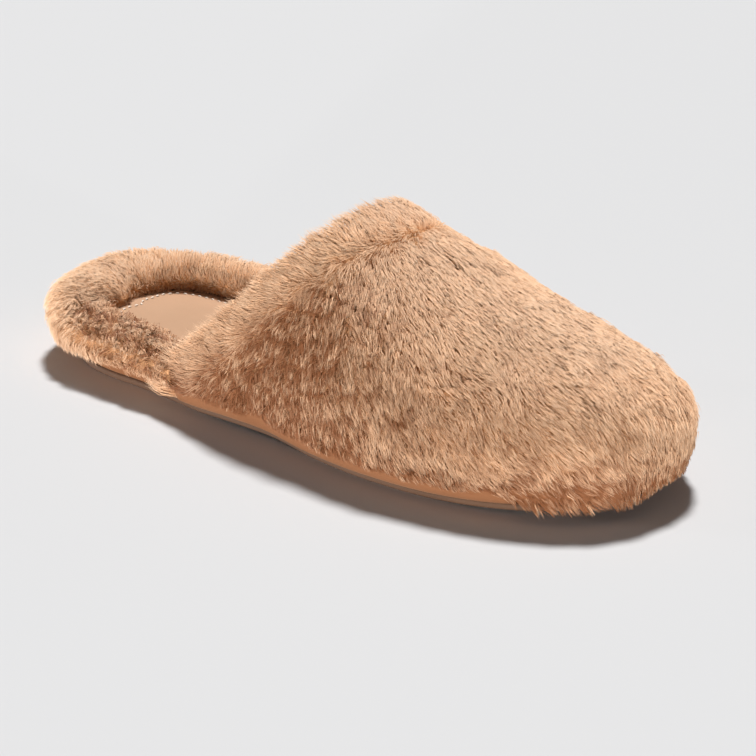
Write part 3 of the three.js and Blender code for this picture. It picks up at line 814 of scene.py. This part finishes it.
def lining_cloth():
    """Soft tan knit: rows of small loops under a light fuzz."""
    finish = Finish("lining_knit", specular_ior_level=0.15, sheen_weight=0.4, sheen_roughness=0.5)
    place = finish.place()
    rows = finish.node("ShaderNodeTexWave", {"bands_direction": "Z"},
                       {"Vector": place, "Scale": 260.0, "Distortion": 2.0, "Detail": 2.0})
    fuzz = finish.noise(1600.0, 4, where=place)
    colour = finish.between(rows * 0.4 + fuzz * 0.6, (0.40, 0.21, 0.12), (0.62, 0.38, 0.24))
    normal = finish.bump(rows * 0.5 + fuzz, 0.5, 0.0008)
    return finish.done(base_color=colour, roughness=0.8 + 0.15 * fuzz, normal=normal)


def lining_outside(turn, climb):
    return lining_surface(turn, climb, LINING_THICK)


def lining_inside(turn, climb):
    return lining_surface(turn, climb, 0.0)


underfur = underfur_finish("vamp_underfur")
backing = hollow_shell("vamp_backing", pelt_surface, backing_inside, lip_bulge, underfur)
lining = hollow_shell("vamp_lining", lining_outside, lining_inside, even_bulge, lining_cloth())
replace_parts(backing, "upper")


def hem_band():
    """A narrow band of the sole's wrap, turned up over the hem: a thin section carried round the vamp,
    out along the hem's curve and back inside it. Its top edge turns in under the hair."""
    turn = np.linspace(VAMP_TURNS[0] - 0.2, VAMP_TURNS[1] + 0.2, 260)[:, None]
    climb = np.linspace(0, BAND_TOP, 12)[None, :]
    turned_in = smooth((climb - BAND_TOP + BAND_EDGE) / BAND_EDGE)
    outside = vamp_surface(turn, climb, mix(BAND_STAND, -BAND_EDGE_SINK, turned_in))
    inside = vamp_surface(turn, climb[:, ::-1], -BAND_INSIDE)
    under = [beside(turn, -BAND_INSIDE, HEM_LEVEL - 0.3), beside(turn, 0.9, HEM_LEVEL - 0.5)]
    rings = cap_ends(np.concatenate([*under, outside, inside], 1))
    faces = grid_faces(*rings.shape[:2], wrap=True)
    piece = lay_mesh("hem_band", rings.reshape(-1, 3), faces, sole_suede)
    close_up(piece)
    return piece


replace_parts(hem_band(), "upper")

CROWN = np.array([COLLAR_TOP_AT + 9.0, -15.0, INSTEP_HEIGHT - 5.0])
PEAK = np.array([COLLAR_TOP_AT + 4.0, 2.0, INSTEP_HEIGHT])
PARTING = 15.0
HEM_HANG = 7.0
TOE_HANG = 0.3
TOE_TUFTS = (31.0, 42.0)
TOE_HEM = (31.0, 49.0)
VAMP_PILE_LONG = 4.9
VAMP_PILE_TALL = 4.1
LIP_PILE_LONG = 6.4
LIP_PILE_TALL = 4.0

# Hollows where the pile is parted or pressed, on the near side: place, width and depth as a share.
# The depth also darkens the hair's tone there, as painted shade.
HOLLOWS = [
    ((132, -47, 38), 13, 0.9), ((112, -47, 17), 11, 0.8), ((163, -53, 23), 12, 0.8),
    ((122, -46, 30), 9, 0.7), ((146, -36, 64), 9, 0.8), ((142, -15, 79), 5, 0.6),
    ((150, -4, 79), 4, 0.4), ((189, -45, 30), 12, 0.5), ((150, -47, 40), 11, 0.6),
    ((228, -42, 16), 9, 0.4), ((185, -32, 56), 7, 0.3), ((205, -20, 56), 7, 0.3),
]


def vamp_flow(roots, normal, turn, climb):
    """Which way the pile lies: away from the crown in front of the parting, back over the lip behind it,
    with a slow wander from place to place. Also gives each root's share behind the parting, and its
    nearness to it: four times that share times the rest."""
    away = unit((roots - CROWN) / 30 * np.array([1.0, 0.55, 1.0]) + np.array([0.4, -0.45, -0.25]))
    corner = np.where(turn < HALF_WAY, VAMP_TURNS[0], VAMP_TURNS[1])
    back = vamp_surface(corner, climb, 0.0) - vamp_surface(turn, climb, 0.0)
    from_lip = np.linalg.norm(back, axis=1)
    behind = smooth((PARTING * 1.4 - from_lip) / (PARTING * 0.8)) * smooth((climb - 0.4) / 0.5)
    flow = unit(mix(away, unit(unit(back) + np.array([-0.25, 0.0, 0.0])), behind[:, None]))
    side = np.cross(normal, flow)
    parting = 4 * behind * (1 - behind)
    swerve = 0.2 * wander(roots, 24.0, 21) + (0.12 + 0.9 * parting) * wander(roots, 5.0, 22)
    return flow + side * swerve[:, None], behind, parting


def hollow_depth(roots):
    """How far the pile is parted at each root: the deepest of the listed hollows around it."""
    depth = np.zeros(len(roots))
    for place, wide, share in HOLLOWS:
        depth = np.maximum(depth, share * smooth(1.2 - np.linalg.norm(roots - place, axis=1) / wide))
    return depth


def at_toe(turn, ends):
    """A share that is 1 around the toe, between two stations on the outline, and fades within its ends."""
    return smooth((turn - ends[0]) / 3) * smooth((ends[1] - turn) / 4)


def hem_start(turn):
    """Where the hair begins above the hem band: high along the sides, and low at the toe, where tufts
    hang over it, with a slow wave."""
    return 0.67 - 0.36 * at_toe(turn, TOE_HEM) + 0.03 * np.sin(turn * 2.7)


def vamp_pile(name, turns, climbs, seed, finish):
    """Hair on one region of the vamp. It is longer and paler behind the parting, darker and in clearer
    locks low down and on the near side, lower on the top, and long at the toe's hem, where it hangs to
    the ground. The darker tone low down, towards the bottom of the outer side and under the toe is painted
    shade where the fur turns under; on the near side it is partly the hair's own darker colour and partly
    painted shade. The tone is also darkened at the peak, as painted shade against the strong light there,
    and in the hollows and along the parting, as painted shade."""
    random = np.random.default_rng(seed)
    roots, normal, turn, climb, *_ = scatter(pelt_surface, turns, climbs, HAIRS_PER_MM2, random)
    kept = climb > hem_start(turn)
    roots, normal, turn, climb = (values[kept] for values in (roots, normal, turn, climb))
    flow, behind, parting = vamp_flow(roots, normal, turn, climb)
    before = 1 - behind
    low = smooth((1.1 - climb) / 0.5)
    hem = smooth((0.85 - climb) / 0.3)
    outer_side = smooth((HALF_WAY - 4.0 - turn) / 10.0)
    crown = smooth(1 - np.linalg.norm(roots - CROWN, axis=1) / 30.0)
    peak = smooth(1 - np.linalg.norm(roots - PEAK, axis=1) / 34.0)
    toe_tufts = at_toe(turn, TOE_TUFTS)
    top_side = smooth((climb - 1.3) / 0.3) * before
    near_side = smooth((28.0 - turn) / 9.0) * smooth((1.8 - climb) / 0.5) * before
    corner_low = behind * low_corner(climb) * (turn < HALF_WAY)
    hollow = hollow_depth(roots) * (0.7 + 0.3 * wander(roots, 7.0, 31)) * (1 - 0.6 * behind)
    pile = VAMP_PILE_LONG + 1.6 * behind - 0.8 * hem * (1 - toe_tufts) + 2.0 * hem * toe_tufts
    pile = pile - 1.2 * parting - 0.9 * near_side - 0.5 * low + 0.4 * top_side + 6.0 * corner_low
    height = VAMP_PILE_TALL - 0.5 * behind - 1.3 * top_side - 1.3 * hem * (1 - corner_low)
    height = height + 0.35 * wander(roots, 16.0, 35)
    # Painted shade: the tone darkens low down, towards the bottom of the outer side, under the toe, at the
    # peak and along the parting; on the near side the darkening is partly the hair's own colour and partly
    # painted shade.
    shade = 0.92 + 0.06 * behind - 0.46 * near_side - 0.58 * low - 0.22 * peak - 0.07 * parting
    shade = shade - 0.20 * outer_side * smooth((1.65 - climb) / 0.5)
    shade = shade - 0.26 * toe_tufts * smooth((1.5 - climb) / 0.8)
    # Painted shade: the tone darkens in the hollows, by their depth.
    shade = shade - 0.34 * hollow + 0.08 * wander(roots, 9.0, 32)
    gather = 0.22 + 0.50 * np.maximum(near_side, low) - 0.16 * behind - 0.10 * crown + 0.45 * hollow
    gather = gather + 0.2 * wander(roots, 11.0, 33) * (1 - 0.6 * top_side) - 0.25 * parting
    gather = np.clip(gather - 0.12 * top_side + 0.2 * hem * toe_tufts, 0.05, 0.85)
    crisp = 0.40 + 0.55 * near_side + 0.25 * low - 0.30 * behind - 0.2 * crown - 0.25 * top_side
    lowest = mix(HEM_HANG - 3.0 * at_toe(turn, TOE_HEM), TOE_HANG - lift(roots[:, 0]), toe_tufts)
    return comb_fur(name, roots, normal, flow, pile, height, lowest, shade, gather, crisp,
                    finish, random)


def lip_pile(name, corner, inward, seed, finish):
    """Hair over the collar's rolled edge, combed from the outside of the roll towards the lining. At the
    low corners it is long and blown back over the rim."""
    random = np.random.default_rng(seed)

    def roll(angle, climb):
        outer, inner = pelt_surface(corner, climb), backing_inside(corner, climb)
        next_one = pelt_surface(corner + inward * 0.1, climb)
        around = np.pi * (inward * angle + 1) / 2
        return lip_roll(outer, inner, next_one, around, lip_bulge(climb)[..., None])

    spread = (-1.0, 0.75) if inward > 0 else (-0.75, 1.0)
    roots, normal, _, climb, along, _ = scatter(roll, spread, (0.35, 1.99), HAIRS_PER_MM2, random)
    outward = roots - backing_inside(corner + inward * 2.0, climb)
    normal = normal * np.sign((normal * outward).sum(1))[:, None]
    low = low_corner(climb)
    blown = low[:, None] * np.array([-1.3, -0.2, 0.15]) - np.array([0.0, 0.0, 0.3])
    pile = LIP_PILE_LONG + 8.0 * low
    height = LIP_PILE_TALL + 3.5 * low * np.clip(-normal[:, 0], 0, 1)
    shade = 0.98 - 0.08 * low + 0.05 * wander(roots, 9.0, 36)
    gather = np.clip(0.12 + 0.10 * wander(roots, 9.0, 37), 0.02, 0.6)
    return comb_fur(name, roots, normal, along * inward + blown, pile, height, HEM_HANG - 1.5, shade,
                    gather, 0.15, finish, random)


vamp_hair = pile_finish("vamp_hair")
NEAR, TOE_NEAR, TOE_FAR, FAR = VAMP_TURNS[0], HALF_WAY - 13, HALF_WAY + 12, VAMP_TURNS[1]
LOW, HIGH = (0.3, 1.32), (1.32, 1.995)
REGIONS = [
    ("pile_outer_low", (NEAR, TOE_NEAR), LOW), ("pile_outer_high", (NEAR, TOE_NEAR), HIGH),
    ("pile_toe_low", (TOE_NEAR, TOE_FAR), LOW), ("pile_toe_high", (TOE_NEAR, TOE_FAR), HIGH),
    ("pile_inner_low", (TOE_FAR, FAR), LOW), ("pile_inner_high", (TOE_FAR, FAR), HIGH),
]
for seed, (name, turns, climbs) in enumerate(REGIONS, 40):
    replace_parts(vamp_pile(name, turns, climbs, seed, vamp_hair), "upper")
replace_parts(lip_pile("lip_outer", NEAR, 1, 51, vamp_hair), "upper")
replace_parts(lip_pile("lip_inner", FAR, -1, 52, vamp_hair), "upper")


# The studio: a plain pale floor, a soft sun from behind that throws the shadow, and a weak even sky.
# Three suns near the ground light the fur's near sides and leave the floor's shadow dark.
# The camera is a long lens about 40 degrees round from the side and 20 degrees up, slightly rolled.

def floor_finish():
    """Matt pale grey paper."""
    finish = Finish("floor_paper", roughness=0.95, specular_ior_level=0.0)
    return finish.done(base_color=(0.68, 0.68, 0.685))


floor_mesh = bpy.data.meshes.new("floor")
floor_mesh.from_pydata([(-60, -60, 0), (60, -60, 0), (60, 60, 0), (-60, 60, 0)], [], [(0, 1, 2, 3)])
floor_mesh.materials.append(floor_finish())
floor = bpy.data.objects.new("floor", floor_mesh)
bpy.context.collection.objects.link(floor)

AZIMUTH = 40.25
ELEVATION = 20.2
ROLL = np.radians(1.8)
DISTANCE = 1.8885
LENS = 250.9
TARGET = np.array([0.0, 0.0, 0.025])
AIM_RIGHT = 0.0053
AIM_UP = -0.0091
SKY = 0.06


def compass(azimuth, elevation):
    """The unit direction so many degrees round from the outer side towards the toe, and so many up."""
    azimuth, elevation = np.radians(azimuth), np.radians(elevation)
    level = np.cos(elevation)
    return np.array([np.sin(azimuth) * level, -np.cos(azimuth) * level, np.sin(elevation)])


toward = compass(AZIMUTH, ELEVATION)
level_right = compass(AZIMUTH + 90, 0)
level_up = np.cross(toward, level_right)
right = level_right * np.cos(ROLL) + level_up * np.sin(ROLL)
up = level_up * np.cos(ROLL) - level_right * np.sin(ROLL)
spot = TARGET + right * AIM_RIGHT + up * AIM_UP + toward * DISTANCE

camera_data = bpy.data.cameras.new("camera")
camera_data.lens = LENS
camera_data.clip_end = 200
camera = bpy.data.objects.new("camera", camera_data)
camera.matrix_world = Matrix(np.vstack([np.stack([right, up, toward, spot], 1), [0, 0, 0, 1]]).tolist())
bpy.context.collection.objects.link(camera)
bpy.context.scene.camera = camera


def add_sun(name, azimuth, elevation, strength, spread):
    """A distant light that shines from a compass direction and height, with the given angle of softness."""
    data = bpy.data.lights.new(name, "SUN")
    data.energy = strength
    data.angle = np.radians(spread)
    light = bpy.data.objects.new(name, data)
    light.rotation_euler = Vector(compass(azimuth, elevation)).to_track_quat("Z", "Y").to_euler()
    bpy.context.collection.objects.link(light)


add_sun("key", 218, 58, 3.95, 9)
add_sun("front_fill", 22, 1.5, 2.2, 3)
add_sun("toe_side_fill", 80, 1.2, 2.1, 2)
add_sun("heel_side_fill", -60, 1.2, 2.3, 2)

world = bpy.data.worlds.new("studio")
world.use_nodes = True
world.node_tree.nodes["Background"].inputs["Color"].default_value = (1.0, 1.0, 1.0, 1)
world.node_tree.nodes["Background"].inputs["Strength"].default_value = SKY
bpy.context.scene.world = world
bpy.context.scene.view_settings.view_transform = "Standard"
